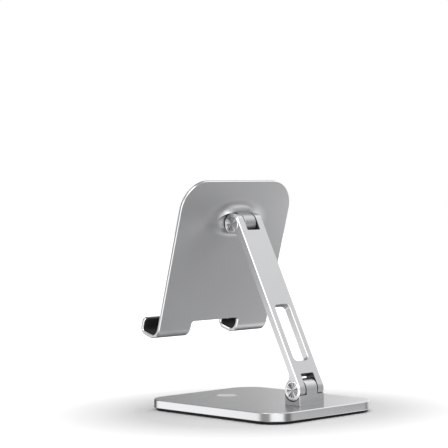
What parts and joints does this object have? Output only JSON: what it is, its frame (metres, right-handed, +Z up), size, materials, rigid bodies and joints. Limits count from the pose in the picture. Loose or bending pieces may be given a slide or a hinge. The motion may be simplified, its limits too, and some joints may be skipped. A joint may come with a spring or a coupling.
{
  "type": "tablet stand",
  "caption": "Folding aluminium tablet stand: flat weighted base, slotted arm between friction hinges, and a tilting tray with lipped hooks along its lower edge.",
  "frame": {"origin": "centre of the base's underside, on the surface the stand rests on", "axes": "+Z up, -Y towards the front where the tablet faces, X along both hinge pins; the stand is symmetric about X = 0"},
  "size_m": [0.1094, 0.1412, 0.1702],
  "materials": {
    "satin_aluminium": "bead-blasted, clear anodised, satin",
    "bright_aluminium": "turned and bright cut",
    "steel": "zinc plated",
    "black_rubber": "matte",
    "nylon": "matte"
  },
  "bodies": {
    "base": {"base_plate": "satin_aluminium", "base_mat": "black_rubber", "base_badge": "bright_aluminium", "hinge_block": "satin_aluminium", "block_screw_left": "steel", "block_screw_right": "steel"},
    "arm": {"arm": "satin_aluminium", "lower_pin": "steel", "lower_nut": "steel", "lower_disc_spring_1": "steel", "lower_disc_spring_2": "steel", "lower_washer_left": "nylon", "lower_washer_right": "nylon", "lower_cap_left": "bright_aluminium", "lower_cap_right": "bright_aluminium", "upper_pin": "steel", "upper_nut": "steel", "upper_disc_spring_1": "steel", "upper_disc_spring_2": "steel", "upper_washer_left": "nylon", "upper_washer_right": "nylon", "upper_cap_left": "bright_aluminium", "upper_cap_right": "bright_aluminium"},
    "tray": {"tray_plate": "satin_aluminium", "tray_boss": "satin_aluminium", "tray_pad": "black_rubber", "hook_liner_left": "black_rubber", "hook_liner_right": "black_rubber", "tray_screw_left_1": "steel", "tray_screw_left_2": "steel", "tray_screw_right_1": "steel", "tray_screw_right_2": "steel"}
  },
  "joints": [
    {"name": "lower_hinge", "type": "hinge", "parent": "base", "child": "arm", "pos_m": [0, 0.0459, 0.01925], "axis": [1, 0, 0], "range_deg": [-38, 18]},
    {"name": "upper_hinge", "type": "hinge", "parent": "arm", "child": "tray", "pos_m": [0, -0.01463, 0.13779], "axis": [1, 0, 0], "range_deg": [-90, 40]}
  ]
}
